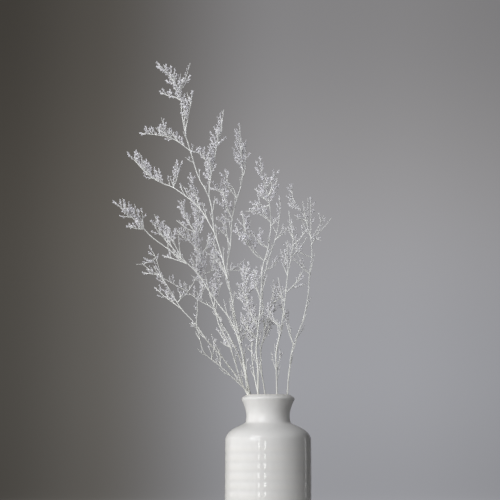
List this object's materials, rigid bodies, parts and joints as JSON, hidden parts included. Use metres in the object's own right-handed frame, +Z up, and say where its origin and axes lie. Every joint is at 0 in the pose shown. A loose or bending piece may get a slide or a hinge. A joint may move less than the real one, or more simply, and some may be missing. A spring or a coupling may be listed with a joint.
{
  "type": "dried statice",
  "caption": "Airy cut sprays of pale dried statice standing in a white glazed bottle vase with a ringed body, a rounded shoulder and a flared lip.",
  "frame": {"origin": "centre of the vase's flat base, on the surface that it stands on", "axes": "+Z up along the vase's axis, +X to the right of the pictured view along the width of the bunch, +Y away from the viewer"},
  "size_m": [0.2365, 0.1426, 0.5464],
  "materials": {
    "glaze": "gloss off-white glaze over softly ringed stoneware",
    "statice": "dry papery pale lavender-grey florets on thin cream stems"
  },
  "bodies": {
    "root": {"vase": "glaze", "spray_low": "statice", "spray_lower_left": "statice", "spray_left": "statice", "spray_bent": "statice", "spray_tall": "statice", "spray_middle": "statice", "spray_inner": "statice", "spray_centre": "statice", "spray_right_centre": "statice", "spray_short_right": "statice", "spray_right": "statice"}
  },
  "joints": []
}
